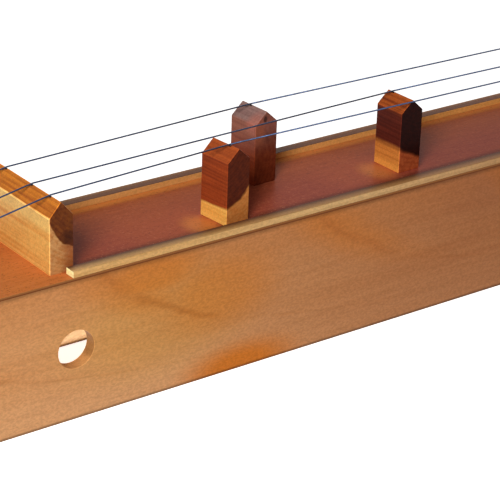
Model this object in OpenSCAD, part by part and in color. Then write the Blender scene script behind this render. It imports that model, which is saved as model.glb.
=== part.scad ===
// Three-string monochord: an open-bottomed wooden sound box with two fixed nuts,
// two edge rails, three loose bridges, three steel strings and their pins.
// Millimetres. X runs along the strings, -Y is the front with the sound hole, Z is up.
// The origin is the middle of the footprint, on the table.

/* [Box] */
// Width of the box over the side boards
box_width = 75; // [72:1:120]
// Height of the side boards under the soundboard
side_height = 73.5; // [50:0.5:120]
// Thickness of the side boards
side_thickness = 7; // [5:0.5:9]
// Thickness of the soundboard
soundboard_thickness = 1.5; // [1:0.25:4]
// Diameter of the sound hole in the front board
hole_diameter = 20; // [10:1:30]
// Height of the sound hole's centre above the table
hole_height = 37.5; // [30:0.5:40]
// Distance of the hole's centre from the outer face of the left nut
hole_offset = 9.5; // [6:0.5:40]

/* [Inside] */
// Length of the block that holds the tuning pins
pin_block_length = 60; // [50:1:64]
// Length of the block that holds the hitch screws
hitch_block_length = 50; // [40:1:64]
// Width of a cross brace under the soundboard
brace_width = 8; // [5:1:15]
// Depth of a cross brace
brace_depth = 12; // [6:1:20]

/* [Rails] */
// Width of an edge rail
rail_width = 6.5; // [4:0.5:9]
// Height of an edge rail
rail_height = 3.5; // [2:0.5:8]
// Distance from a nut's outer face to the end of the rails
rail_setback = 8; // [2:0.5:12]

/* [Nuts] */
// Sounding length, from ridge to ridge
scale_length = 600; // [480:10:1200]
// Distance from the left end of the box to the left nut's ridge
pin_side_length = 105; // [95:1:130]
// Distance from the right nut's ridge to the right end of the box
hitch_side_length = 95; // [70:1:120]
// Thickness of a nut along the strings
nut_thickness = 13; // [8:0.5:16]
// Height of a nut's upright faces
nut_eave = 29; // [20:0.5:32]
// Height of a nut's ridge above the soundboard
nut_apex = 36.5; // [34:0.5:38]
// Gap between a nut's end and the rail beside it
nut_gap = 1.5; // [0.5:0.25:3]

/* [Bridges] */
// Length of a bridge across the box
bridge_length = 20; // [16:0.5:21]
// Thickness of a bridge along the strings
bridge_thickness = 14.5; // [8:0.5:18]
// Height of a bridge's upright faces
bridge_eave = 33.5; // [24:0.5:36]
// Height of a bridge's ridge above the soundboard
bridge_apex = 40; // [38:0.5:46]
// Distance of the front bridge from the left nut
front_bridge_at = 103; // [60:1:130]
// Distance of the middle bridge from the left nut
middle_bridge_at = 222; // [190:1:400]
// Distance of the back bridge from the left nut
back_bridge_at = 146; // [60:1:400]
// Distance of the front bridge's centre from its string, towards the back
front_bridge_shift = 3.5; // [-3:0.5:5]
// Gap between the front string and the near end of the middle bridge
middle_bridge_gap = 0.6; // [0.4:0.1:4]
// Distance of the back bridge's centre from its string, towards the front
back_bridge_shift = 2.5; // [0:0.5:6]
// Turn of the front bridge as it was set down
front_bridge_turn = 5; // [-5:1:6]
// Turn of the middle bridge as it was set down
middle_bridge_turn = 1; // [-5:1:5]
// Turn of the back bridge as it was set down
back_bridge_turn = 3; // [-5:1:5]

/* [Strings] */
// Distance of the front string from the middle of the box
front_string_at = 20.5; // [19:0.5:22]
// Distance of the middle string from the middle of the box, towards the front
middle_string_at = 4; // [0:0.5:4.5]
// Distance of the back string from the middle of the box
back_string_at = 20; // [18:0.5:22]
// Diameter of the steel wire
string_diameter = 0.8; // [0.4:0.05:0.9]

/* [Tuning pins] */
// Diameter of a tuning pin
pin_diameter = 5; // [4:0.5:7]
// Length of a tuning pin inside the wood
pin_depth = 22; // [16:1:40]
// Height of the round part above the soundboard
pin_shaft_height = 24; // [20:1:28]
// Height of the square head for the key
pin_head_height = 10; // [7:1:12]
// Width across the flats of the square head
pin_head_flats = 3.8; // [2.5:0.1:4]
// Distance from the left end of the box to the pins
pin_inset = 27; // [20:1:36]
// Diameter of the cross hole for the wire
pin_hole_diameter = 1.5; // [1.3:0.1:2]
// Turns of wire round a pin
winding_turns = 3; // [2:1:6]
// Rise of the winding in one turn
winding_pitch = 1.25; // [1.25:0.05:1.4]

/* [Hitch screws] */
// Diameter of a hitch screw's shank
screw_diameter = 1.9; // [1.4:0.1:2]
// Length of the shank inside the wood
screw_depth = 16; // [10:1:30]
// Diameter of the round head
screw_head_diameter = 4.6; // [4:0.1:7]
// Height of the round head
screw_head_height = 1.8; // [1.4:0.1:2.2]
// Distance from the right end of the box to the screws
screw_inset = 18; // [14:1:24]
// Outer diameter of the brass eye on a string's end
eye_diameter = 4.2; // [3.6:0.1:6]
// Height of the eye
eye_height = 3.6; // [3.2:0.1:5]

/* [Hidden] */
$fn = 48;

// Clearances: turning pin, screw in its bore, eye on its screw, wire on wood and on steel, loose foot
pin_play = 0.03;
screw_play = 0.02;
eye_play = 0.2;
wire_seat = 0.02;
wire_wrap = 0.05;
crest_seat = 0.1;
foot_seat = 0.1;
wire_joint = 0.02;
head_play = 0.1;

// Small details: groove in an eye, rim and slot of a screw head, corners of a square head
eye_groove_depth = 0.6;
eye_flange = 0.8;
eye_flank = 0.2;
screw_head_rim = 0.4;
slot_width = 0.7;
slot_depth = 0.6;
head_corner = 0.1;

// How far a cutting shape runs past the face that it cuts
overcut = 1;

// Colours of the woods and metals
tan_wood = [0.75, 0.52, 0.31];
red_wood = [0.56, 0.31, 0.22];
pale_wood = [0.85, 0.68, 0.44];
block_wood = [0.66, 0.46, 0.28];
nut_wood = [0.80, 0.52, 0.26];
dark_wood = [0.42, 0.20, 0.12];
string_steel = [0.62, 0.65, 0.72];
pin_steel = [0.45, 0.46, 0.50];
brass = [0.80, 0.64, 0.32];

// Places along the box
box_length = pin_side_length + scale_length + hitch_side_length;
left_end = -box_length / 2;
right_end = box_length / 2;
left_ridge = left_end + pin_side_length;
right_ridge = left_ridge + scale_length;
pin_x = left_end + pin_inset;
screw_x = right_end - screw_inset;
hole_x = left_ridge - nut_thickness / 2 + hole_offset;
rail_start = left_ridge - nut_thickness / 2 + rail_setback;
rail_stop = right_ridge + nut_thickness / 2 - rail_setback;
brace_room_start = hole_x + hole_diameter / 2;
brace_room_stop = right_end - hitch_block_length;

// Places across the box
inner_width = box_width - 2 * side_thickness;
nut_length = box_width - 2 * (rail_width + nut_gap);
front_y = -front_string_at;
middle_y = -middle_string_at;
back_y = back_string_at;

// Heights above the table
top = side_height + soundboard_thickness;
wire = string_diameter / 2;
nut_crest = top + nut_apex + wire + wire_seat;
bridge_crest = top + foot_seat + bridge_apex + wire + crest_seat;

// Winding on a tuning pin: it leaves the cross hole and climbs round the pin
wind_radius = pin_diameter / 2 + wire + wire_wrap;
wind_sweep = 360 * winding_turns + 270;
wind_step = 15;
wind_half_turn = 180 / wind_step + 1;
wind_bend = 0.6;
wind_margin = 1.7;
wind_tail = 1.5;
wind_exit_height = pin_shaft_height - wind_margin;
pin_hole_height = wind_exit_height - winding_pitch * wind_sweep / 360;

// Brass eye on the end of a string
eye_groove_radius = eye_diameter / 2 - eye_groove_depth;
eye_bore_radius = screw_diameter / 2 + eye_play;
eye_middle_height = head_play + eye_height / 2;
head_seat = eye_height + 2 * head_play;

// Gable outline of nuts and bridges, in X and Z, with its foot on z = 0
module gable(thickness, eave, apex, length) {
    rotate([90, 0, 0])
        linear_extrude(height = length, center = true)
            polygon([
                [-thickness / 2, 0], [thickness / 2, 0], [thickness / 2, eave],
                [0, apex], [-thickness / 2, eave]
            ]);
}

// Board lying along X between two ends, from its lower face up
module board(x_from, x_to, y_from, y_to, z_from, z_to) {
    translate([x_from, y_from, z_from])
        cube([x_to - x_from, y_to - y_from, z_to - z_from]);
}

// Unit vector, and the direction of a route at one of its points
function unit(v) = v / norm(v);
function heading(p, i) = unit(
    (i > 0 ? unit(p[i] - p[i - 1]) : [0, 0, 0]) + (i < len(p) - 1 ? unit(p[i + 1] - p[i]) : [0, 0, 0])
);

// One ring of a tube round point c, square to direction t
function ring(c, t, r, sides) = let (s = unit(cross(t, [0, 0, 1])), u = cross(s, t))
    [for (k = [0 : sides - 1]) c + r * (cos(360 * k / sides) * s + sin(360 * k / sides) * u)];

// Round wire swept along a route of points
module wire_along(p, r, sides) {
    n = len(p);
    points = [for (i = [0 : n - 1]) each ring(p[i], heading(p, i), r, sides)];
    walls = [
        for (i = [0 : n - 2], k = [0 : sides - 1])
            let (a = i * sides + k, b = i * sides + (k + 1) % sides)
                each [[a, b, b + sides], [a, b + sides, a + sides]]
    ];
    start_cap = [for (k = [1 : sides - 2]) [0, k + 1, k]];
    end_cap = [for (k = [1 : sides - 2]) [(n - 1) * sides, (n - 1) * sides + k, (n - 1) * sides + k + 1]];
    polyhedron(points = points, faces = concat(walls, start_cap, end_cap), convexity = 6);
}

// Where the wire leaves a pin's winding, and the direction to the left nut's crest
function wind_exit(y) = [pin_x, y, top + wind_exit_height];
function exit_heading(y) = unit([left_ridge, y, nut_crest] - wind_exit(y));
function wire_start(y) = wind_exit(y) + wind_tail * exit_heading(y);

// Route of a winding round the pin that stands behind the string at y
function winding_route(y) = let (c = [pin_x, y + wind_radius, top]) concat(
    [c + [-1, 0, pin_hole_height], c + [wind_radius - wind_bend, 0, pin_hole_height]],
    [
        for (a = [30 : 30 : 90])
            c + [wind_radius - wind_bend * (1 - sin(a)), wind_bend * (1 - cos(a)), pin_hole_height]
    ],
    [
        for (a = [wind_step : wind_step : wind_sweep])
            c + [wind_radius * cos(a), wind_radius * sin(a), pin_hole_height + winding_pitch * a / 360]
    ],
    [wire_start(y)]
);

// Least gap between turns of a winding, measured between points at least half a turn apart
function winding_gap(p) = min([
    for (i = [0 : len(p) - 1 - wind_half_turn], j = [i + wind_half_turn : len(p) - 1]) norm(p[i] - p[j])
]) - string_diameter;

// Route of a string from its winding over nut, bridge and nut to its brass eye
function string_route(y, bridge_x) = [
    wire_start(y) + wire_joint * exit_heading(y),
    [left_ridge, y, nut_crest],
    [bridge_x, y, bridge_crest],
    [right_ridge, y, nut_crest],
    [screw_x - eye_groove_radius - wire_joint, y, top + eye_middle_height]
];

// Side board, with the sound hole in the front one
module side_front() {
    color(tan_wood)
        difference() {
            board(left_end, right_end, -box_width / 2, -box_width / 2 + side_thickness, 0, side_height);
            translate([hole_x, -box_width / 2 + side_thickness / 2, hole_height])
                rotate([90, 0, 0])
                    cylinder(d = hole_diameter, h = side_thickness + 2 * overcut, center = true, $fn = 96);
        }
}

module side_back() {
    color(tan_wood)
        board(left_end, right_end, box_width / 2 - side_thickness, box_width / 2, 0, side_height);
}

// Soundboard over the whole box, drilled for the pins and screws
module soundboard() {
    color(red_wood)
        difference() {
            board(left_end, right_end, -box_width / 2, box_width / 2, side_height, top);
            pin_bores();
            screw_bores();
        }
}

// Bores for the three tuning pins
module pin_bores() {
    for (y = [front_y, middle_y, back_y])
        translate([pin_x, y + wind_radius, top - pin_depth - overcut])
            cylinder(d = pin_diameter + 2 * pin_play, h = pin_depth + 2 * overcut);
}

// Bores for the three hitch screws
module screw_bores() {
    for (y = [front_y, middle_y, back_y])
        translate([screw_x, y, top - screw_depth - overcut])
            cylinder(d = screw_diameter + 2 * screw_play, h = screw_depth + 2 * overcut);
}

// Blocks that close the ends of the box and carry the strings' pull
module pin_block() {
    color(block_wood)
        difference() {
            board(left_end, left_end + pin_block_length, -inner_width / 2, inner_width / 2, 0, side_height);
            pin_bores();
        }
}

module hitch_block() {
    color(block_wood)
        difference() {
            board(brace_room_stop, right_end, -inner_width / 2, inner_width / 2, 0, side_height);
            screw_bores();
        }
}

// Cross brace under the soundboard, the first of three being number 1
module brace(number) {
    x = brace_room_start + (brace_room_stop - brace_room_start) * number / 4;
    color(block_wood)
        board(x - brace_width / 2, x + brace_width / 2, -inner_width / 2, inner_width / 2,
            side_height - brace_depth, side_height);
}

// Rail along one edge of the soundboard, side -1 in front and 1 at the back
module rail(side) {
    y = side * (box_width - rail_width) / 2;
    color(pale_wood)
        board(rail_start, rail_stop, y - rail_width / 2, y + rail_width / 2, top, top + rail_height);
}

// Fixed nut with its ridge at x
module nut(x) {
    color(nut_wood)
        translate([x, 0, top])
            gable(nut_thickness, nut_eave, nut_apex, nut_length);
}

// How far a turned bridge reaches across the box from its centre
function bridge_reach(turn) = bridge_length / 2 * cos(turn) + bridge_thickness / 2 * sin(abs(turn));

// Loose bridge standing at distance at from the left ridge
module bridge(at, y, turn) {
    color(dark_wood)
        translate([left_ridge + at, y, top + foot_seat])
            rotate([0, 0, turn])
                gable(bridge_thickness, bridge_eave, bridge_apex, bridge_length);
}

// Steel string
module string(y, at) {
    color(string_steel)
        wire_along(string_route(y, left_ridge + at), wire, 8);
}

// Tuning pin with a square head and a cross hole for the wire
module tuning_pin(y) {
    color(pin_steel)
        translate([pin_x, y + wind_radius, top])
            difference() {
                union() {
                    translate([0, 0, -pin_depth])
                        cylinder(d = pin_diameter, h = pin_depth + pin_shaft_height);
                    translate([0, 0, pin_shaft_height])
                        intersection() {
                            translate([-pin_head_flats / 2, -pin_head_flats / 2, 0])
                                cube([pin_head_flats, pin_head_flats, pin_head_height]);
                            cylinder(d = pin_diameter - 2 * head_corner, h = pin_head_height);
                        }
                }
                translate([0, 0, pin_hole_height])
                    rotate([0, 90, 0])
                        cylinder(d = pin_hole_diameter, h = 2 * pin_diameter, center = true, $fn = 24);
            }
}

// Turns of the string's end round its tuning pin
module winding(y) {
    route = winding_route(y);
    echo(str("least gap in a winding, mm: ", winding_gap(route)));
    color(string_steel)
        wire_along(route, wire, 6);
}

// Round-headed brass screw that holds a string's eye
module hitch_screw(y) {
    color(brass)
        translate([screw_x, y, top])
            difference() {
                union() {
                    translate([0, 0, -screw_depth])
                        cylinder(d = screw_diameter, h = screw_depth + head_seat + screw_head_rim / 2);
                    translate([0, 0, head_seat])
                        intersection() {
                            cylinder(d = screw_head_diameter, h = screw_head_height);
                            translate([0, 0, screw_head_height - head_sphere()])
                                sphere(r = head_sphere(), $fn = 64);
                        }
                }
                translate([0, 0, head_seat + screw_head_height])
                    cube([screw_head_diameter + overcut, slot_width, 2 * slot_depth], center = true);
            }
}

// Radius of the sphere that rounds a screw head above its rim
function head_sphere() = let (rise = screw_head_height - screw_head_rim)
    (pow(screw_head_diameter / 2, 2) + pow(rise, 2)) / (2 * rise);

// Grooved brass eye that the string is looped into
module eye(y) {
    r = eye_diameter / 2;
    color(brass)
        translate([screw_x, y, top + head_play])
            rotate_extrude($fn = 48)
                polygon([
                    [eye_bore_radius, 0], [r, 0], [r, eye_flange],
                    [eye_groove_radius, eye_flange + eye_flank],
                    [eye_groove_radius, eye_height - eye_flange - eye_flank],
                    [r, eye_height - eye_flange], [r, eye_height], [eye_bore_radius, eye_height]
                ]);
}

side_front();
side_back();
soundboard();
pin_block();
hitch_block();
brace(1);  // brace_left
brace(2);  // brace_middle
brace(3);  // brace_right
rail(-1);  // rail_front
rail(1);  // rail_back
nut(left_ridge);  // nut_left
nut(right_ridge);  // nut_right
bridge(front_bridge_at, front_y + front_bridge_shift, front_bridge_turn);  // bridge_front
bridge(middle_bridge_at, front_y + wire + middle_bridge_gap + bridge_reach(middle_bridge_turn),  // bridge_middle
        middle_bridge_turn);
bridge(back_bridge_at, back_y - back_bridge_shift, back_bridge_turn);  // bridge_back
string(front_y, front_bridge_at);  // string_front
string(middle_y, middle_bridge_at);  // string_middle
string(back_y, back_bridge_at);  // string_back
tuning_pin(front_y);  // tuning_pin_front
tuning_pin(middle_y);  // tuning_pin_middle
tuning_pin(back_y);  // tuning_pin_back
winding(front_y);  // winding_front
winding(middle_y);  // winding_middle
winding(back_y);  // winding_back
hitch_screw(front_y);  // hitch_screw_front
hitch_screw(middle_y);  // hitch_screw_middle
hitch_screw(back_y);  // hitch_screw_back
eye(front_y);  // eye_front
eye(middle_y);  // eye_middle
eye(back_y);  // eye_back
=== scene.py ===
"""Looks of the three-string monochord: woods, metals, wires, camera, lights and floor.

Lengths are metres in the frame of the CAD model. Inside a material they are millimetres.
"""
import math

import bpy
from mathutils import Matrix, Vector


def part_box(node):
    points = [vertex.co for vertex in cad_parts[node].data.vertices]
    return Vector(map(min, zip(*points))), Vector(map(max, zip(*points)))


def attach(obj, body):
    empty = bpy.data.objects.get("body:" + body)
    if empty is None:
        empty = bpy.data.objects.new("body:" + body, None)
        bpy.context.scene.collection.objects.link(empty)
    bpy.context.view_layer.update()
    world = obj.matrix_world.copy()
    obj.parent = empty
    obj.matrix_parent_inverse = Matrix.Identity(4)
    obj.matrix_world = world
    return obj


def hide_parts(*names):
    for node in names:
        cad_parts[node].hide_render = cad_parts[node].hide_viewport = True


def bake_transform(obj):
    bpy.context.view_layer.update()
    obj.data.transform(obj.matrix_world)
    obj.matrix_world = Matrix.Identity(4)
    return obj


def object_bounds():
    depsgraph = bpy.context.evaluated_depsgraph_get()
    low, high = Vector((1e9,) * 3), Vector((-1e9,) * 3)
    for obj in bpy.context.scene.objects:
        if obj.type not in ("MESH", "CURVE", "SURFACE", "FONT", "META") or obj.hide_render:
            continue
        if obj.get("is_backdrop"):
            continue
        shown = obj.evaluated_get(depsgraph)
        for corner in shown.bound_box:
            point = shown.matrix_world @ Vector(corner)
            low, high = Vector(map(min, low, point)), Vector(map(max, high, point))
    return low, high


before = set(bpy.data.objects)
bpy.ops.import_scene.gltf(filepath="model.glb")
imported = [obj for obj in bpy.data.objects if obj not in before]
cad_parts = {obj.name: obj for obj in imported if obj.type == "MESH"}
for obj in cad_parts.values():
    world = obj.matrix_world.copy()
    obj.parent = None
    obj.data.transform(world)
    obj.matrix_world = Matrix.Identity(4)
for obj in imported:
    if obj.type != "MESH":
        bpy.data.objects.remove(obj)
cad_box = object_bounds()

PLACES = ("front", "middle", "back")
MM = 0.001
# Axes: along the strings, across the box and upwards
ALONG, ACROSS, UP = 0, 1, 2


# Shader building

BUMP_STRENGTH = 0.5


class Shader:
    """One procedural material, in millimetres from its origin and along axes that can be turned."""

    def __init__(self, name, origin=(0, 0, 0), turn=0.0):
        self.material = bpy.data.materials.new(name)
        self.material.use_nodes = True
        self.nodes = self.material.node_tree.nodes
        self.links = self.material.node_tree.links
        self.surface = self.nodes["Principled BSDF"]
        coordinates = self.nodes.new("ShaderNodeTexCoord")
        start = self.vector("SUBTRACT", coordinates.outputs["Object"], tuple(origin))
        scaled = self.vector("MULTIPLY", start, (1000, 1000, 1000))
        self.place = self.turned(scaled, -turn)
        self.axes = self.split(self.place)
        self.normals = self.split(self.turned(coordinates.outputs["Normal"], -turn))

    def add(self, kind, inputs, **settings):
        """A new node with these settings, and with a plain value or a link at each of these inputs."""
        node = self.nodes.new("ShaderNode" + kind)
        for name, value in settings.items():
            setattr(node, name, value)
        for key, value in inputs.items():
            self.put(node.inputs[key], value)
        return node

    def put(self, socket, value):
        """Links a socket to another node's output, or sets it to a plain value."""
        if isinstance(value, bpy.types.NodeSocket):
            self.links.new(value, socket)
        else:
            socket.default_value = value

    def vector(self, operation, first, second):
        return self.add("VectorMath", {0: first, 1: second}, operation=operation).outputs[0]

    def turned(self, vector, degrees):
        inputs = {"Vector": vector, "Angle": math.radians(degrees)}
        return self.add("VectorRotate", inputs, rotation_type="Z_AXIS").outputs[0]

    def split(self, vector):
        return list(self.add("SeparateXYZ", {0: vector}).outputs)

    def math(self, operation, first, second=0.0, third=0.0):
        return self.add("Math", {0: first, 1: second, 2: third}, operation=operation).outputs[0]

    def product(self, first, *others):
        """All the shares multiplied."""
        for other in others:
            first = self.math("MULTIPLY", first, other)
        return first

    def fade(self, value, low, high, start=0.0, end=1.0):
        """start where value is at low, end where it is at high, and smooth between."""
        inputs = {"Value": value, 1: low, 2: high, 3: start, 4: end}
        return self.add("MapRange", inputs, interpolation_type="SMOOTHSTEP").outputs[0]

    def around(self, value, middle, span):
        """A span round the middle, from its low end where value is 0 to its high end where it is 1."""
        return self.math("MULTIPLY_ADD", value, span, middle - span / 2)

    def mix(self, share, first, second):
        return self.add("Mix", {0: share, 6: first, 7: second}, data_type="RGBA").outputs[2]

    def times(self, color, tone):
        """One colour multiplied by another."""
        inputs = {0: 1.0, 6: color, 7: tone}
        return self.add("Mix", inputs, data_type="RGBA", blend_type="MULTIPLY").outputs[2]

    def shaded(self, color, *factors):
        """The colour times each of the factors."""
        for factor in factors:
            grey = self.add("CombineColor", {0: factor, 1: factor, 2: factor}).outputs[0]
            color = self.times(color, grey)
        return color

    def tinted(self, color, share, tint):
        """The colour, times tint where share is 1."""
        return self.times(color, self.mix(share, (1, 1, 1, 1), tint))

    def spot(self, axes, centre, reach, core=0.25):
        """A round place, by its centre and reach along some axes: 1 in its core, 0 beyond its reach."""
        squares = 0.0
        for axis, middle, size in zip(axes, centre, reach):
            part = self.math("DIVIDE", self.math("SUBTRACT", self.axes[axis], middle), size)
            squares = self.math("MULTIPLY_ADD", part, part, squares)
        return self.fade(self.math("SQRT", squares), 1.0, core)

    def noise(self, per_mm, detail=3.0, roughness=0.55, shift=0.0):
        """Noise from 0 to 1 with per_mm cycles to a millimetre along x, y and z."""
        moved = self.vector("ADD", self.vector("MULTIPLY", self.place, per_mm), (shift, shift, shift))
        inputs = {"Vector": moved, "Scale": 1.0, "Detail": detail, "Roughness": roughness}
        return self.add("TexNoise", inputs).outputs[0]

    def distance(self, along, centre):
        """Distance from a line that runs with the grain, through a centre on the other two axes."""
        across = [axis for axis in range(3) if axis != along]
        sides = [self.math("SUBTRACT", self.axes[axis], centre[i]) for i, axis in enumerate(across)]
        squares = [self.math("MULTIPLY", side, side) for side in sides]
        return self.math("SQRT", self.math("ADD", *squares))

    def coat(self, weight, roughness):
        """A thin layer of varnish."""
        self.put(self.surface.inputs["Coat Weight"], weight)
        self.put(self.surface.inputs["Coat Roughness"], roughness)

    def finish(self, color, roughness, height, depth, gloss, wear_and_highlight=0.0):
        """The material, with a relief that is depth millimetres deep, and paler by the given share: wear
        and a painted highlight on rounded edges, and painted shade where the share is negative.
        """
        if wear_and_highlight:
            color = self.shaded(color, 1.0 + wear_and_highlight)
        self.put(self.surface.inputs["Base Color"], color)
        self.put(self.surface.inputs["Roughness"], roughness)
        self.put(self.surface.inputs["Specular IOR Level"], gloss)
        inputs = {"Strength": BUMP_STRENGTH, "Distance": depth * MM, "Height": height}
        self.put(self.surface.inputs["Normal"], self.add("Bump", inputs).outputs[0])
        return self.material


def rgb(red, green, blue):
    """A colour given as it looks on the screen, 0 to 255, as the linear colour that a shader takes."""
    return tuple(((c / 255 + 0.055) / 1.055) ** 2.4 for c in (red, green, blue)) + (1.0,)


def stretched(along, lengthwise, across):
    """Cycles to a millimetre: lengthwise on the grain's axis and across on the other two."""
    return tuple(lengthwise if axis == along else across for axis in range(3))


# Grain that all the solid woods share

RING_WANDER = 3.2
FIBRE_CONTRAST = 0.5
PORE_SHADE = 0.86
SPECKLE = 0.1
WOOD_GLOSS_SPAN = 0.16
WOOD_COAT = 0.02
WOOD_COAT_ROUGHNESS = 0.25
WOOD_RELIEF = 0.05
HEART_WAVE = 3.0
HEART_SOFTNESS = 0.8


def grain(shader, along, pith, ring_width):
    """Late wood of the growth rings, soft streaks, fine fibres and dark pores, each from 0 to 1."""
    wander = shader.noise(stretched(along, 0.006, 0.045), detail=2.0)
    distance = shader.distance(along, pith)
    distance = shader.math("MULTIPLY_ADD", wander, RING_WANDER * ring_width, distance)
    phase = shader.math("FRACT", shader.math("DIVIDE", distance, ring_width))
    late = shader.product(shader.fade(phase, 0.2, 0.9), shader.fade(phase, 1.0, 0.92))
    streaks = shader.noise(stretched(along, 0.012, 0.34), detail=4.0, roughness=0.62, shift=40.0)
    fibres = shader.noise(stretched(along, 0.07, 1.9), detail=4.0, roughness=0.65)
    pores = shader.noise(stretched(along, 0.25, 3.4), detail=2.0, roughness=0.5, shift=90.0)
    return late, shader.fade(streaks, 0.3, 0.7), fibres, shader.fade(pores, 0.6, 0.72)


def speckles(shader, amount):
    """A fine mottle of small vessels: a factor that strays by amount to both sides of 1."""
    mottle = shader.noise((0.55, 0.9, 0.9), roughness=0.7, shift=150.0)
    return shader.fade(mottle, 0.36, 0.64, 1.0 - amount, 1.0 + amount)


def heart_share(shader, along, heart):
    """1 in the heartwood and 0 in the sapwood, with a slightly wavy border."""
    wave = shader.noise(stretched(along, 0.04, 0.16), detail=2.0, roughness=0.5, shift=12.0)
    edge = shader.math("MULTIPLY_ADD", wave, HEART_WAVE, shader.distance(along, heart["centre"]))
    edge = shader.math("MULTIPLY_ADD", shader.axes[along], heart.get("tilt", 0.0), edge)
    border = heart["radius"] + HEART_WAVE / 2
    half = heart.get("soft", HEART_SOFTNESS) / 2
    return shader.fade(edge, border - half, border + half, 1.0, 0.0)


def wood(shader, along, pith, ring_width, pale, dark, rings, end, heart=None, adjust=None,
         wear_and_highlight=0.0, roughness=0.42, gloss=0.08):
    """Finished wood: pale to dark by its grain, end tint on its end faces, with an optional darker
    heart and a last adjustment of the colour."""
    late, streaks, fibres, pores = grain(shader, along, pith, ring_width)
    share = shader.math("MULTIPLY_ADD", late, rings, shader.product(streaks, 1 - rings))
    share = shader.math("ADD", share, shader.around(fibres, 0.0, FIBRE_CONTRAST))
    share.node.use_clamp = True
    color = shader.mix(share, pale, dark)
    end_tint = end + (1.0,)
    if heart:
        core = heart_share(shader, along, heart)
        color = shader.mix(core, color, shader.mix(share, heart["pale"], heart["dark"]))
        end_tint = shader.mix(core, end_tint, heart["end"] + (1.0,))
    if adjust:
        color = adjust(shader, color, share)
    ends = shader.fade(shader.math("ABSOLUTE", shader.normals[along]), 0.6, 0.9)
    color = shader.tinted(color, ends, end_tint)
    pore_shade = shader.fade(pores, 0.0, 1.0, 1.0, PORE_SHADE)
    color = shader.shaded(color, pore_shade, speckles(shader, SPECKLE))
    dull = shader.around(fibres, roughness, WOOD_GLOSS_SPAN)
    shader.coat(WOOD_COAT, WOOD_COAT_ROUGHNESS)
    return shader.finish(color, dull, shader.math("SUBTRACT", fibres, pores), WOOD_RELIEF, gloss, wear_and_highlight)


# Side boards

# Where the tone of a long piece starts and stops changing along its length: painted shade for the lamp's
# fall-off, and the far rail's golden tone
TONE_START, TONE_STOP = -330, 0
# The shape of one arch, how far it wanders, and how the arches follow each other along the board
ARCH_STEEPNESS = 0.2
ARCH_KNEE = -3.0
ARCH_RUN = 60.0
ARCH_WOBBLE = 20.0
ARCH_WARP = 420.0
ARCH_OFFSET = 1177.0
ARCH_SPACING = 66.0
# Centre and reach along the board and upwards, and strength
SIDE_WARMTH = (
    ((-250, 66), (44, 18), 0.6),
    ((-208, 46), (50, 28), 0.5),
    ((-195, 2), (48, 18), 0.95),
)


def arches(shader):
    """Millimetres to the nearest arch, a line that falls steeply from the top edge and then runs out
    along the board."""
    x, _, z = shader.axes
    fall = shader.math("EXPONENT", shader.math("MULTIPLY_ADD", z, ARCH_STEEPNESS, ARCH_KNEE))
    depth = shader.math("LOGARITHM", shader.math("ADD", 1.0, fall), math.e)
    run = shader.math("MULTIPLY_ADD", shader.math("LOGARITHM", depth, math.e), ARCH_RUN, x)
    wobble = shader.noise((0.02, 0.06, 0.06), roughness=0.6, shift=5.0)
    run = shader.math("MULTIPLY_ADD", wobble, ARCH_WOBBLE, run)
    warp = shader.noise((0.006, 0.0, 0.0), detail=1.0, roughness=0.5, shift=17.0)
    warp = shader.product(warp, shader.fade(x, 10, 120))
    run = shader.math("MULTIPLY_ADD", warp, ARCH_WARP, run)
    return shader.math("PINGPONG", shader.math("ADD", run, ARCH_OFFSET), ARCH_SPACING)


def side_figure(shader):
    """Shares of the dark lines on the arches, and of the orange glow beside them and in warm places."""
    x, _, z = shader.axes
    gap = arches(shader)
    patchy = shader.noise((0.02, 0.05, 0.05), detail=2.0, roughness=0.5, shift=61.0)
    patchy = shader.product(shader.fade(patchy, 0.26, 0.52), shader.fade(z, 8, 44, 0.3, 1.0),
                            shader.fade(x, -220, -140, 1.0, 0.55))
    line = shader.product(shader.fade(gap, 8.0, 0.0), patchy)
    glow = shader.product(shader.fade(gap, 32.0, 4.0, 0.0, 0.4), shader.fade(z, 24, 56))
    for centre, reach, strength in SIDE_WARMTH:
        warm = shader.spot((ALONG, UP), centre, reach)
        glow = shader.math("MAXIMUM", glow, shader.product(warm, strength))
    return line, glow


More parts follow.
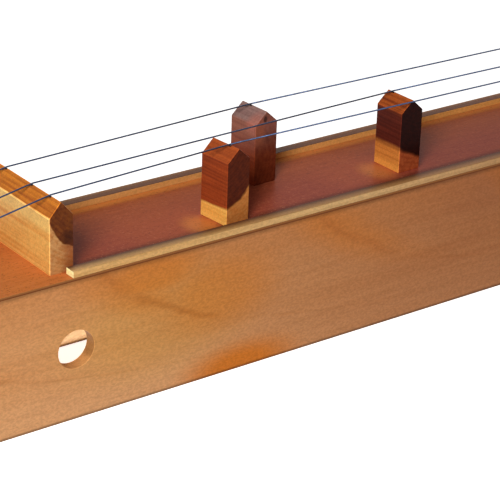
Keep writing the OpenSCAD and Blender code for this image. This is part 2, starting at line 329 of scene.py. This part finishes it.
def side_wood(wear_and_highlight=0.0):
    """Honey-tan board: hardly any figure, a few arched shadows, and lighter towards the tuning pins,
    where the lamp's fall-off and light from the table are painted.
    """

    def adjust(shader, color, share):
        x, y, z = shader.axes
        # Darker and redder towards the right end: painted shade for the fall-off of the lamp's light
        painted_falloff = shader.mix(share, rgb(172, 112, 70), rgb(162, 102, 62))
        color = shader.mix(shader.fade(x, TONE_START, TONE_STOP), color, painted_falloff)
        # Paler towards the bottom, most near the tuning pins: painted light bounced up from the table
        low = shader.product(shader.fade(z, 30, 4), shader.fade(x, -120, -240, 0.12, 0.36))
        color = shader.mix(low, color, rgb(214, 170, 128))
        color = shader.mix(shader.fade(z, 44, 70, 0.0, 0.34), color, rgb(178, 106, 48))
        line, glow = side_figure(shader)
        color = shader.mix(glow, color, rgb(196, 112, 30))
        inner_face = shader.fade(shader.math("ABSOLUTE", y), 31.5, 30.6)
        color = shader.mix(inner_face, color, rgb(226, 190, 146))
        color = shader.tinted(color, line, (0.84, 0.76, 0.66, 1.0))
        yellower = shader.spot((ALONG, UP), (-245, 40), (80, 42))
        color = shader.tinted(color, yellower, (1.0, 1.03, 0.8, 1.0))
        browner = shader.product(shader.fade(x, -120, 0), shader.fade(z, 40, 66, 0.0, 0.85))
        color = shader.tinted(color, browner, (0.84, 0.82, 1.0, 1.0))
        # Darker over the top few millimetres, just under the soundboard
        darker_near_top = shader.fade(z, 70.6, 74.0, 1.0, 0.55)
        # Darker along the bottom edge: a painted contact shadow where the board stands on the table
        painted_contact_shadow = shader.fade(z, 2.0, 0.6, 1.0, 0.42)
        return shader.shaded(color, darker_near_top, painted_contact_shadow)

    return wood(Shader("side_wood"), ALONG, pith=(-60, -190), ring_width=9.0, pale=rgb(204, 148, 98),
                dark=rgb(197, 140, 90), rings=0.25, end=(0.6, 0.6, 0.6), adjust=adjust, wear_and_highlight=wear_and_highlight,
                roughness=0.46)


# Soundboard

BOARD_COAT = 0.03
BOARD_COAT_ROUGHNESS = 0.2
BOARD_ROUGHNESS = 0.5
BOARD_ROUGHNESS_SPAN = 0.2
BOARD_RELIEF = 0.03
BOARD_GLOSS = 0.06
# Painted reflections of the bridges' golden feet: centre and reach along and across the board, strength,
# and colour on the screen
PAINTED_FOOT_REFLECTIONS = (
    ((-222, -8), (44, 30), 0.3, (200, 104, 56)),
    ((-96, -8), (36, 26), 0.3, (200, 104, 56)),
    ((-207, -18), (13, 16), 0.65, (226, 140, 66)),
    ((-87, -10), (13, 16), 0.6, (226, 140, 66)),
)


def board_tone(shader, lines):
    """Red-brown between the nuts, with painted light: orange outside the nuts for light bounced off their
    outer faces, and more golden towards the far rail for light bounced off it.
    """
    x, y, _ = shader.axes
    # Orange outside the nuts: painted light bounced off their outer faces
    outside = shader.mix(lines, rgb(216, 130, 67), rgb(200, 115, 58))
    inside = shader.mix(lines, rgb(168, 81, 56), rgb(150, 68, 48))
    between = shader.product(shader.fade(x, -298, -284), shader.fade(x, 298, 284))
    color = shader.mix(between, outside, inside)
    # More golden towards the far rail, and most beside it: painted light bounced off the far rail
    painted_far_glow = shader.mix(lines, rgb(196, 106, 48), rgb(174, 88, 40))
    color = shader.mix(shader.fade(y, -12, 30, 0.0, 0.6), color, painted_far_glow)
    return shader.mix(shader.fade(y, 24.0, 29.0, 0.0, 0.85), color, rgb(222, 140, 70))


def painted_shadow_and_reflections(shader, color):
    """A painted shadow along the near rail, and painted reflections of the bridges' golden feet beside
    their usual stands.
    """
    x, y, _ = shader.axes
    between = shader.product(shader.fade(x, -292, -289), shader.fade(x, 292, 289))
    # Darker strip beside the near rail: painted shadow of the rail
    painted_rail_shadow = shader.product(shader.fade(y, -20.0, -25.0), between)
    color = shader.tinted(color, painted_rail_shadow, (0.5, 0.5, 0.5, 1.0))
    # Warm places beside the bridges' feet: painted reflections of the feet
    for centre, reach, strength, tone in PAINTED_FOOT_REFLECTIONS:
        warm = shader.spot((ALONG, ACROSS), centre, reach)
        color = shader.mix(shader.product(warm, strength), color, rgb(*tone))
    return color


def soundboard_wood(wear_and_highlight=0.0):
    """Red-brown sheet with a fine speckle and a satin varnish."""
    shader = Shader("soundboard_wood")
    x, _, z = shader.axes
    lines = shader.fade(shader.noise(stretched(ALONG, 0.06, 0.5), detail=5.0, roughness=0.7), 0.2, 0.8)
    speckle = shader.noise((0.7, 0.9, 0.9), roughness=0.75, shift=30.0)
    color = painted_shadow_and_reflections(shader, board_tone(shader, lines))
    color = shader.mix(shader.fade(speckle, 0.55, 0.7, 0.0, 0.5), color, rgb(206, 130, 92))
    color = shader.mix(shader.fade(speckle, 0.45, 0.32, 0.0, 0.5), color, rgb(88, 40, 32))
    # Darker and redder just right of the left nut: painted shadow of the nut
    corner = shader.product(shader.fade(x, -291, -288), shader.fade(x, -258, -282))
    color = shader.tinted(color, corner, (0.8, 0.68, 0.52, 1.0))
    color = shader.shaded(color, shader.fade(x, -110, -60, 1.0, 0.88))
    color = shader.tinted(color, shader.fade(x, -200, -120), (1.0, 1.0, 1.14, 1.0))
    edge_tone = shader.mix(shader.fade(z, 73.6, 74.8), rgb(106, 56, 28), rgb(150, 98, 54))
    color = shader.mix(shader.fade(shader.normals[UP], 0.8, 0.4), color, edge_tone)
    shader.coat(BOARD_COAT, BOARD_COAT_ROUGHNESS)
    dull = shader.around(speckle, BOARD_ROUGHNESS, BOARD_ROUGHNESS_SPAN)
    return shader.finish(color, dull, lines, BOARD_RELIEF, BOARD_GLOSS, wear_and_highlight)


# Rails and blocks

RAIL_FOOT = (0, 0, 75 * MM)


def rail_wood(wear_and_highlight=0.0):
    """Pale strip, with painted light on its upright faces and painted shade on its upper face towards the
    strings, most of all on the far side.
    """

    def adjust(shader, color, share):
        x, y, _ = shader.axes
        # Darker and redder towards the right end: painted shade for the fall-off of the lamp's light
        painted_falloff = shader.mix(share, rgb(178, 127, 80), rgb(160, 111, 67))
        color = shader.mix(shader.fade(x, TONE_START, TONE_STOP), color, painted_falloff)
        far = shader.fade(y, -5.0, 5.0)
        golden = shader.product(far, shader.fade(x, TONE_START, TONE_STOP, 0.4, 0.9))
        color = shader.mix(golden, color, rgb(206, 136, 66))
        # Paler upright faces towards the right: painted light on the faces that look to the front and
        # back
        painted_light_uprights = shader.fade(shader.math("ABSOLUTE", shader.normals[ACROSS]), 0.4, 0.8)
        painted_light_uprights = shader.product(painted_light_uprights, shader.fade(x, -270, -110))
        color = shader.tinted(color, painted_light_uprights, (1.22, 1.46, 1.74, 1.0))
        # Darker top towards the strings, most on the far rail: painted shade
        off_middle = shader.math("ABSOLUTE", y)
        painted_far_top_shade = shader.product(far, shader.fade(off_middle, 37.5, 34.0, 0.5, 0.85))
        painted_top_shade = shader.math("MAXIMUM", shader.fade(off_middle, 37.8, 30.6), painted_far_top_shade)
        painted_top_shade = shader.product(painted_top_shade, shader.fade(shader.normals[UP], 0.6, 0.9))
        return shader.mix(painted_top_shade, color, rgb(86, 44, 30))

    return wood(Shader("rail_wood", RAIL_FOOT), ALONG, pith=(-30, -25), ring_width=2.6,
                pale=rgb(220, 175, 113), dark=rgb(206, 157, 96), rings=0.5, end=(1.5, 2.4, 3.2),
                adjust=adjust, wear_and_highlight=wear_and_highlight)


def block_wood():
    """Plain sawn wood of the blocks and braces inside the box."""
    return wood(Shader("block_wood"), ACROSS, pith=(-40, -60), ring_width=3.4, pale=rgb(196, 144, 96),
                dark=rgb(168, 114, 70), rings=0.5, end=(0.5, 0.5, 0.5))


# Nuts and bridges

# How far each bridge stands askew, in degrees
BRIDGE_TURN = {"front": 5, "middle": 1, "back": 3}
# Heights of the ridges over the soundboard
NUT_TOP = 36.5
BRIDGE_TOP = 40
# The mark of a string is gone at the first number and full at the second: beside the string, and
# under the ridge of a nut or a bridge
MARK_BESIDE = (0.9, 0.5)
NUT_MARK_UNDER = (1.1, 0.6)
BRIDGE_MARK_UNDER = (0.9, 0.5)


def foot(node):
    """The middle of a node's lower face."""
    low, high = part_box(node)
    return ((low.x + high.x) / 2, (low.y + high.y) / 2, low.z)


def front_face(shader):
    """1 on faces that look to the front, and 0 on all others."""
    return shader.fade(shader.normals[ACROSS], -0.6, -0.9)


def other_faces(shader):
    """0 on faces that look to the front, and 1 on all others."""
    return shader.fade(shader.normals[ACROSS], -0.8, -0.6)


def string_mark(shader, color, y, top, under, paint):
    """Dark line on a ridge under the string at y."""
    across = shader.math("ABSOLUTE", shader.math("SUBTRACT", shader.axes[ACROSS], y))
    near_ridge = shader.fade(shader.axes[UP], top - under[0], top - under[1])
    mark = shader.product(shader.fade(across, *MARK_BESIDE), near_ridge)
    return shader.mix(mark, color, paint)


def nut_wood(node, wear_and_highlight=0.0):
    """Golden sapwood with brown heartwood along the ridge, and a mark where each string presses."""

    def adjust(shader, color, share):
        x, _, z = shader.axes
        outer_face = shader.fade(shader.normals[ALONG], -0.8, -0.95)
        band = shader.product(shader.fade(z, 19, 25), shader.fade(z, 30.5, 29), outer_face, 0.75)
        color = shader.mix(band, color, rgb(231, 196, 120))
        for place in PLACES:
            y = string_y(place) / MM
            color = string_mark(shader, color, y, NUT_TOP, NUT_MARK_UNDER, rgb(40, 26, 24))
        gable = front_face(shader)
        stain = shader.product(shader.fade(x, -2, 5), shader.fade(z, 19, 12), gable, 0.7)
        color = shader.mix(stain, color, rgb(168, 84, 32))
        deep = shader.product(shader.spot((ALONG, UP), (4.5, 17.5), (6.5, 6.0)), gable)
        return shader.tinted(color, deep, (0.5, 0.45, 0.5, 1.0))

    heart = {"centre": (13.5, 31), "radius": 20, "pale": rgb(218, 134, 46), "dark": rgb(158, 82, 28),
             "end": (0.23, 0.17, 0.2)}
    return wood(Shader("nut_wood", foot(node)), ACROSS, pith=(22, 46), ring_width=2.2,
                pale=rgb(232, 182, 102), dark=rgb(212, 140, 65), rings=0.3, end=(0.66, 0.6, 0.8),
                heart=heart, adjust=adjust, wear_and_highlight=wear_and_highlight)


def bridge_shader(place):
    return Shader(place + "_bridge_wood", foot("bridge_" + place), BRIDGE_TURN[place])


def bridge_mark(shader, color, place):
    y = string_on_bridge(place)
    return string_mark(shader, color, y, BRIDGE_TOP, BRIDGE_MARK_UNDER, rgb(34, 20, 18))


def front_bridge_wood(wear_and_highlight=0.0):
    """Red-brown heartwood over a pale golden foot."""

    def adjust(shader, color, share):
        # Paler upward slopes: painted light
        slopes = shader.fade(shader.normals[UP], 0.3, 0.6)
        color = shader.tinted(color, slopes, (1.22, 1.42, 1.32, 1.0))
        return bridge_mark(shader, color, "front")

    heart = {"centre": (-12, 32), "radius": 23.6, "tilt": -0.04, "soft": 1.8, "pale": rgb(164, 72, 34),
             "dark": rgb(122, 50, 26), "end": (0.27, 0.24, 0.22)}
    return wood(bridge_shader("front"), ACROSS, pith=(-20, 52), ring_width=2.0, pale=rgb(244, 192, 100),
                dark=rgb(232, 164, 76), rings=0.3, end=(0.6, 0.4, 0.42), heart=heart, adjust=adjust,
                wear_and_highlight=wear_and_highlight, gloss=0.04)


def middle_bridge_wood(wear_and_highlight=0.0):
    """Dark heartwood between an orange-brown cap and a golden foot."""

    def adjust(shader, color, share):
        z = shader.axes[UP]
        cap = shader.product(shader.fade(z, 31, 35), other_faces(shader))
        color = shader.mix(cap, color, shader.mix(share, rgb(184, 92, 38), rgb(116, 48, 24)))
        golden = shader.product(shader.fade(z, 9, 1), other_faces(shader), 0.7)
        color = shader.mix(golden, color, rgb(238, 164, 76))
        return bridge_mark(shader, color, "middle")

    heart = {"centre": (16.4, 48), "radius": 42, "soft": 3.2, "pale": rgb(100, 41, 29),
             "dark": rgb(70, 26, 20), "end": (0.17, 0.14, 0.16)}
    return wood(bridge_shader("middle"), ACROSS, pith=(18, 60), ring_width=2.4, pale=rgb(216, 138, 64),
                dark=rgb(180, 102, 44), rings=0.3, end=(0.64, 0.38, 0.6), heart=heart, adjust=adjust,
                wear_and_highlight=wear_and_highlight, gloss=0.03)


def back_bridge_wood(wear_and_highlight=0.0):
    """Purple-brown wood, greyer towards the ridge, with a knot beside an orange patch near one end."""

    def adjust(shader, color, share):
        z = shader.axes[UP]
        upper = shader.mix(share, rgb(156, 100, 82), rgb(130, 76, 62))
        color = shader.mix(shader.fade(z, 14, 32), color, upper)
        slopes = shader.product(shader.fade(z, 32.5, 34.5), other_faces(shader))
        color = shader.mix(slopes, color, shader.mix(share, rgb(152, 120, 114), rgb(124, 90, 86)))
        patch = shader.product(shader.spot((ACROSS, UP), (-7.5, 33.0), (7.5, 8.0)), 0.6)
        color = shader.mix(patch, color, rgb(186, 110, 94))
        flank = shader.spot((ALONG, UP), (-5.0, 29.0), (6.0, 10.0))
        color = shader.mix(shader.product(flank, front_face(shader), 0.7), color, rgb(196, 112, 78))
        knot = shader.spot((ALONG, ACROSS, UP), (-0.9, -9.6, 35.8), (1.6, 1.6, 2.6), core=0.5)
        color = shader.mix(shader.product(knot, 0.8), color, rgb(48, 24, 22))
        return bridge_mark(shader, color, "back")

    return wood(bridge_shader("back"), ACROSS, pith=(-26, 14), ring_width=2.6, pale=rgb(144, 65, 34),
                dark=rgb(114, 43, 22), rings=0.3, end=(0.6, 0.58, 0.6), adjust=adjust, wear_and_highlight=wear_and_highlight)


# Metals

METAL_SHADE = 0.72
METAL_ROUGHNESS_SPAN = 0.14
METAL_RELIEF = 0.01
METAL_GLOSS = 0.5


def metal(name, color, roughness, brushed):
    """Bare metal with fine drawn or turned lines."""
    shader = Shader(name)
    lines = shader.fade(shader.noise(brushed, roughness=0.6), 0.35, 0.7)
    shader.put(shader.surface.inputs["Metallic"], 1.0)
    color = shader.shaded(color, shader.fade(lines, 0.0, 1.0, 1.0, METAL_SHADE))
    dull = shader.around(lines, roughness, METAL_ROUGHNESS_SPAN)
    return shader.finish(color, dull, lines, METAL_RELIEF, METAL_GLOSS)


def string_steel():
    return metal("string_steel", rgb(62, 75, 104), roughness=0.44, brushed=(0.4, 4.0, 4.0))


def pin_steel():
    return metal("pin_steel", rgb(112, 116, 130), roughness=0.36, brushed=(0.6, 0.6, 6.0))


def brass():
    return metal("brass", rgb(206, 168, 92), roughness=0.32, brushed=(1.2, 1.2, 5.0))


# Finish of the wooden and metal nodes, with angles in degrees

WELD_DISTANCE = 0.01 * MM
FLAT_ANGLE = 0.5
EDGE_ANGLE = 32
EDGE_SEGMENTS = 2


def dress(node, material, edge_width, edge=None):
    """Gives a node its material and rounds its edges, which take the edge material if there is one."""
    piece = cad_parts[node]
    piece.data.materials.clear()
    piece.data.materials.append(material)
    weld = piece.modifiers.new("weld", "WELD")
    weld.merge_threshold = WELD_DISTANCE
    flat = piece.modifiers.new("flat", "DECIMATE")
    flat.decimate_type = "DISSOLVE"
    flat.angle_limit = math.radians(FLAT_ANGLE)
    bevel = piece.modifiers.new("edges", "BEVEL")
    bevel.width = edge_width * MM
    bevel.segments = EDGE_SEGMENTS
    bevel.limit_method = "ANGLE"
    bevel.angle_limit = math.radians(EDGE_ANGLE)
    bevel.use_clamp_overlap = True
    if edge:
        piece.data.materials.append(edge)
        bevel.material = 1


def dress_box():
    # Edge materials: wear and a painted highlight on the rounded edges, and painted shade on the rails'
    # edges
    sides, sides_edge = side_wood(), side_wood(wear_and_highlight=0.25)
    boards, boards_edge = soundboard_wood(), soundboard_wood(wear_and_highlight=0.1)
    rails, rails_edge = rail_wood(), rail_wood(wear_and_highlight=-0.08)
    blocks = block_wood()
    for node in ("side_front", "side_back"):
        dress(node, sides, 0.3, sides_edge)
    dress("soundboard", boards, 0.2, boards_edge)
    for node in ("rail_front", "rail_back"):
        dress(node, rails, 0.3, rails_edge)
    for node in ("pin_block", "hitch_block", "brace_left", "brace_middle", "brace_right"):
        dress(node, blocks, 0.35)
    for node in ("nut_left", "nut_right"):
        dress(node, nut_wood(node), 0.45, nut_wood(node, wear_and_highlight=0.55))


def dress_bridges():
    # Edge materials: wear and a painted highlight on the rounded edges
    dress("bridge_front", front_bridge_wood(), 0.4, front_bridge_wood(wear_and_highlight=0.15))
    dress("bridge_middle", middle_bridge_wood(), 0.4, middle_bridge_wood(wear_and_highlight=0.4))
    dress("bridge_back", back_bridge_wood(), 0.4, back_bridge_wood(wear_and_highlight=0.15))


def dress_metal():
    pins, screws = pin_steel(), brass()
    for place in PLACES:
        dress("tuning_pin_" + place, pins, 0.2)
        dress("hitch_screw_" + place, screws, 0.12)
        dress("eye_" + place, screws, 0.1)


# Wires: their places come from the CAD nodes, and their own sizes are here, with turns in degrees

WIRE = 0.4 * MM
CLEARANCE = 0.02 * MM
NUT_SEAT = WIRE + CLEARANCE
WIND_RADIUS = 2.95 * MM
WIND_EXIT = 22.3 * MM
WIND_PITCH = 1.25 * MM
WIND_SWEEP = 1350
WIND_START, WIND_STEP = 15, 9
WIND_BEND = 0.6 * MM
WIND_BEND_STEP = 18
WIND_TAIL = 2.6 * MM
HOLE_END = 1.0 * MM
LOOP_RADIUS = 1.93 * MM
LOOP_LENGTH = 7.5 * MM
LOOP_STEP = 10
TWIST_RADIUS = 2.06 * WIRE
TWIST_TURNS = 7
TWIST_PITCH = 0.95 * MM
TWIST_STEP = 20
SIDES = 12


def middle(node):
    low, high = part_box(node)
    return (low + high) / 2


def string_y(place):
    return middle("string_" + place).y


def string_on_bridge(place):
    """Where a bridge's string crosses it, in millimetres from the bridge's middle along its ridge."""
    turn = math.radians(BRIDGE_TURN[place])
    return (string_y(place) - middle("bridge_" + place).y) / MM / math.cos(turn)


def soundboard_top():
    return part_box("soundboard")[1].z


def nut_crest(node, y):
    """The wire's middle where it crosses a nut at y."""
    return Vector((middle(node).x, y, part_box(node)[1].z + NUT_SEAT))


def bridge_crest(place):
    """The wire's middle where it crosses its bridge."""
    return Vector((middle("bridge_" + place).x, string_y(place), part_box("string_" + place)[1].z - WIRE))


def tube(name, route, material):
    """Round wire swept along a route of points."""
    points = [Vector(p) for p in route]
    last = len(points) - 1
    side = Vector((0, 0, 1))
    vertices = []
    for i, point in enumerate(points):
        before = (points[i] - points[i - 1]).normalized() if i else Vector()
        after = (points[i + 1] - points[i]).normalized() if i < last else Vector()
        heading = (before + after).normalized()
        side = (side - heading * side.dot(heading)).normalized()
        across = heading.cross(side)
        for k in range(SIDES):
            turn = 2 * math.pi * k / SIDES
            vertices.append(point + WIRE * (math.cos(turn) * side + math.sin(turn) * across))
    walls = []
    for i in range(last):
        for k in range(SIDES):
            a, b = i * SIDES + k, i * SIDES + (k + 1) % SIDES
            walls.append((a, b, b + SIDES, a + SIDES))
    caps = [tuple(reversed(range(SIDES))), tuple(range(last * SIDES, (last + 1) * SIDES))]
    mesh = bpy.data.meshes.new(name)
    mesh.from_pydata(vertices, [], walls + caps)
    mesh.update()
    for face in mesh.polygons:
        face.use_smooth = len(face.vertices) == 4
    mesh.materials.append(material)
    piece = bpy.data.objects.new(name, mesh)
    bpy.context.scene.collection.objects.link(piece)
    return piece


def winding_exit(place):
    """Where the wire leaves its winding, and the direction in which it goes on to the nut."""
    pin = middle("tuning_pin_" + place)
    start = Vector((pin.x, string_y(place), soundboard_top() + WIND_EXIT))
    return start, (nut_crest("nut_left", start.y) - start).normalized()


def winding(place, material):
    """Wire that comes out of a pin's cross hole and climbs round the pin."""
    start, heading = winding_exit(place)
    centre = middle("tuning_pin_" + place)
    centre.z = soundboard_top() + (WIND_EXIT - WIND_PITCH * WIND_SWEEP / 360)
    route = [centre + Vector((-HOLE_END, 0, 0)), centre + Vector((WIND_RADIUS - WIND_BEND, 0, 0))]
    for degrees in range(WIND_BEND_STEP, 90 + 1, WIND_BEND_STEP):
        a = math.radians(degrees)
        bend = Vector((WIND_RADIUS - WIND_BEND * (1 - math.sin(a)), WIND_BEND * (1 - math.cos(a)), 0))
        route.append(centre + bend)
    for degrees in range(WIND_START, WIND_SWEEP + 1, WIND_STEP):
        a = math.radians(degrees)
        rise = WIND_PITCH * degrees / 360
        route.append(centre + Vector((WIND_RADIUS * math.cos(a), WIND_RADIUS * math.sin(a), rise)))
    route += [start, start + heading * WIND_TAIL]
    piece = tube("wire_turns_" + place, route, material)
    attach(piece, place + "_pin")
    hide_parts("winding_" + place)


def string_end(place, crest):
    """Route from the right nut round the brass eye and back, with the end twisted round the string."""
    eye = middle("eye_" + place)
    near = Vector((eye.x - LOOP_RADIUS, eye.y, eye.z))
    back = (crest - near).normalized()
    split = near + back * (LOOP_LENGTH - LOOP_RADIUS)
    sideways = Vector((0, 1, 0))
    upwards = back.cross(sideways).normalized()
    tangent = 180 - math.degrees(math.acos(LOOP_RADIUS / LOOP_LENGTH))
    route = [split]
    for degrees in range(int(tangent), -int(tangent) - 1, -LOOP_STEP):
        a = math.radians(degrees)
        route.append(eye + LOOP_RADIUS * Vector((math.cos(a), math.sin(a), 0)))
    for degrees in range(0, 360 * TWIST_TURNS + 1, TWIST_STEP):
        a = math.radians(degrees)
        around = TWIST_RADIUS * (math.sin(a) * upwards - math.cos(a) * sideways)
        route.append(split + back * (TWIST_PITCH * degrees / 360) + around)
    return route


def string(place, material):
    """One string in two pieces, so that it stays straight on both sides of a bridge that slides."""
    exit_point, heading = winding_exit(place)
    start = exit_point + heading * (WIND_TAIL + CLEARANCE)
    left = nut_crest("nut_left", exit_point.y)
    right = nut_crest("nut_right", exit_point.y)
    crest = bridge_crest(place)
    speaking = tube("string_left_part_" + place, [start, left, crest], material)
    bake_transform(speaking)
    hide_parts("string_" + place)
    resting = tube("string_right_part_" + place, [crest, right] + string_end(place, right), material)
    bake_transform(resting)


def all_wires():
    steel = string_steel()
    for place in PLACES:
        winding(place, steel)
        string(place, steel)


# Camera, found from the photograph: its place round the object, its aim and its roll

CAMERA_AZIMUTH = math.radians(37.190)
CAMERA_ELEVATION = math.radians(24.510)
CAMERA_ROLL = math.radians(1.969)
CAMERA_TARGET = Vector((-0.19061, -0.0375, 0.06456))
CAMERA_DISTANCE = 1.02729
CAMERA_LENS = 148.90
CAMERA_SENSOR = 36


def photo_camera():
    level_view = Vector((math.sin(CAMERA_AZIMUTH), math.cos(CAMERA_AZIMUTH), 0))
    view = level_view * math.cos(CAMERA_ELEVATION) - Vector((0, 0, math.sin(CAMERA_ELEVATION)))
    level = Vector((math.cos(CAMERA_AZIMUTH), -math.sin(CAMERA_AZIMUTH), 0))
    up = level.cross(view)
    right = level * math.cos(CAMERA_ROLL) + up * math.sin(CAMERA_ROLL)
    up = up * math.cos(CAMERA_ROLL) - level * math.sin(CAMERA_ROLL)
    data = bpy.data.cameras.new("camera")
    data.sensor_width = CAMERA_SENSOR
    data.lens = CAMERA_LENS
    camera = bpy.data.objects.new("camera", data)
    turn = Matrix((right, up, -view)).transposed().to_4x4()
    camera.matrix_world = Matrix.Translation(CAMERA_TARGET - view * CAMERA_DISTANCE) @ turn
    bpy.context.scene.collection.objects.link(camera)
    bpy.context.scene.camera = camera


# Lights and floor

LAMP_TARGET = Vector((-0.17, 0, 0.05))
TABLE_LIGHT_HEIGHT = 1 * MM
TABLE_LIGHT_WIDTH = 58 * MM
TABLE_LIGHT_END_GAP = 2 * MM
WORLD_COLOR = (1.0, 0.98, 0.95, 1.0)
WHITE = (1.0, 1.0, 1.0, 1.0)
FLOOR_HALF = 6.0
FLOOR_PAINT = (0.88, 0.88, 0.88, 1)
# Glow of the floor for the rays that light the object, and for those that are seen
FLOOR_GLOW, FLOOR_GLOW_SEEN = 0.1, 0.78


def lamp(name, toward, distance, size, power, color):
    """Soft round lamp that shines on the middle of what the photograph shows."""
    place = LAMP_TARGET + Vector(toward).normalized() * distance
    data = bpy.data.lights.new(name, "AREA")
    data.shape = "DISK"
    data.size = size
    data.energy = power
    data.color = color
    light = bpy.data.objects.new(name, data)
    light.location = place
    light.rotation_euler = (LAMP_TARGET - place).to_track_quat("-Z", "Y").to_euler()
    bpy.context.scene.collection.objects.link(light)
    return light


def table_light(power):
    """Light that comes up from the white table through the open bottom of the sound box."""
    low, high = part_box("pin_block")[1].x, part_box("hitch_block")[0].x
    data = bpy.data.lights.new("table", "AREA")
    data.shape = "RECTANGLE"
    data.size = high - low - 2 * TABLE_LIGHT_END_GAP
    data.size_y = TABLE_LIGHT_WIDTH
    data.energy = power
    light = bpy.data.objects.new("table", data)
    light.location = ((low + high) / 2, 0, TABLE_LIGHT_HEIGHT)
    light.rotation_euler = (math.pi, 0, 0)
    light.visible_camera = False
    light.visible_glossy = False
    bpy.context.scene.collection.objects.link(light)


def seen_white(nodes, links):
    """A share of 1 for rays that come from the camera, or by a mirror or glass."""
    path = nodes.new("ShaderNodeLightPath")
    seen = path.outputs["Is Camera Ray"]
    for other in ("Is Glossy Ray", "Is Transmission Ray"):
        both = nodes.new("ShaderNodeMath")
        both.operation = "MAXIMUM"
        links.new(seen, both.inputs[0])
        links.new(path.outputs[other], both.inputs[1])
        seen = both.outputs[0]
    return seen


def white_world(strength):
    """Pale light from all sides, and pure white where the world itself is seen."""
    world = bpy.data.worlds.new("studio")
    bpy.context.scene.world = world
    world.use_nodes = True
    nodes, links = world.node_tree.nodes, world.node_tree.links
    nodes.clear()
    light, white = nodes.new("ShaderNodeBackground"), nodes.new("ShaderNodeBackground")
    light.inputs["Strength"].default_value = strength
    light.inputs["Color"].default_value = WORLD_COLOR
    white.inputs["Strength"].default_value = 1.0
    white.inputs["Color"].default_value = WHITE
    mix, out = nodes.new("ShaderNodeMixShader"), nodes.new("ShaderNodeOutputWorld")
    links.new(seen_white(nodes, links), mix.inputs[0])
    links.new(light.outputs[0], mix.inputs[1])
    links.new(white.outputs[0], mix.inputs[2])
    links.new(mix.outputs[0], out.inputs[0])


def floor_material():
    """White paint that takes the object's shadow, and glows so that it looks white."""
    material = bpy.data.materials.new("floor")
    material.use_nodes = True
    nodes, links = material.node_tree.nodes, material.node_tree.links
    nodes.clear()
    paint, glow = nodes.new("ShaderNodeBsdfDiffuse"), nodes.new("ShaderNodeEmission")
    paint.inputs["Color"].default_value = FLOOR_PAINT
    glow.inputs["Color"].default_value = WHITE
    level = nodes.new("ShaderNodeMapRange")
    level.inputs["To Min"].default_value = FLOOR_GLOW
    level.inputs["To Max"].default_value = FLOOR_GLOW_SEEN
    links.new(seen_white(nodes, links), level.inputs["Value"])
    links.new(level.outputs[0], glow.inputs["Strength"])
    both, out = nodes.new("ShaderNodeAddShader"), nodes.new("ShaderNodeOutputMaterial")
    links.new(paint.outputs[0], both.inputs[0])
    links.new(glow.outputs[0], both.inputs[1])
    links.new(both.outputs[0], out.inputs[0])
    return material


def white_floor():
    half = FLOOR_HALF
    mesh = bpy.data.meshes.new("floor")
    corners = [(-half, -half, 0), (half, -half, 0), (half, half, 0), (-half, half, 0)]
    mesh.from_pydata(corners, [], [(0, 1, 2, 3)])
    mesh.materials.append(floor_material())
    floor = bpy.data.objects.new("floor", mesh)
    bpy.context.scene.collection.objects.link(floor)
    floor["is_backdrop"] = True


def studio():
    lamp("key", toward=(-0.66, -0.54, 0.54), distance=1.7, size=0.6, power=25.0, color=(1.0, 0.96, 0.9))
    fill = lamp("fill", toward=(0.55, 0.8, 0.22), distance=1.9, size=1.0, power=6.0,
                color=(0.96, 0.98, 1.0))
    fill.visible_glossy = False
    table_light(power=0.25)
    white_world(strength=0.12)
    white_floor()


def write_sizes():
    """The CAD model's box and the visual model's box, as plain numbers."""
    boxes = {"cad": cad_box, "visual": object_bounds()}
    boxes = {name: [list(corner) for corner in box] for name, box in boxes.items()}


bpy.context.scene.view_settings.view_transform = "Standard"
photo_camera()
studio()
dress_box()
dress_bridges()
dress_metal()
all_wires()
write_sizes()
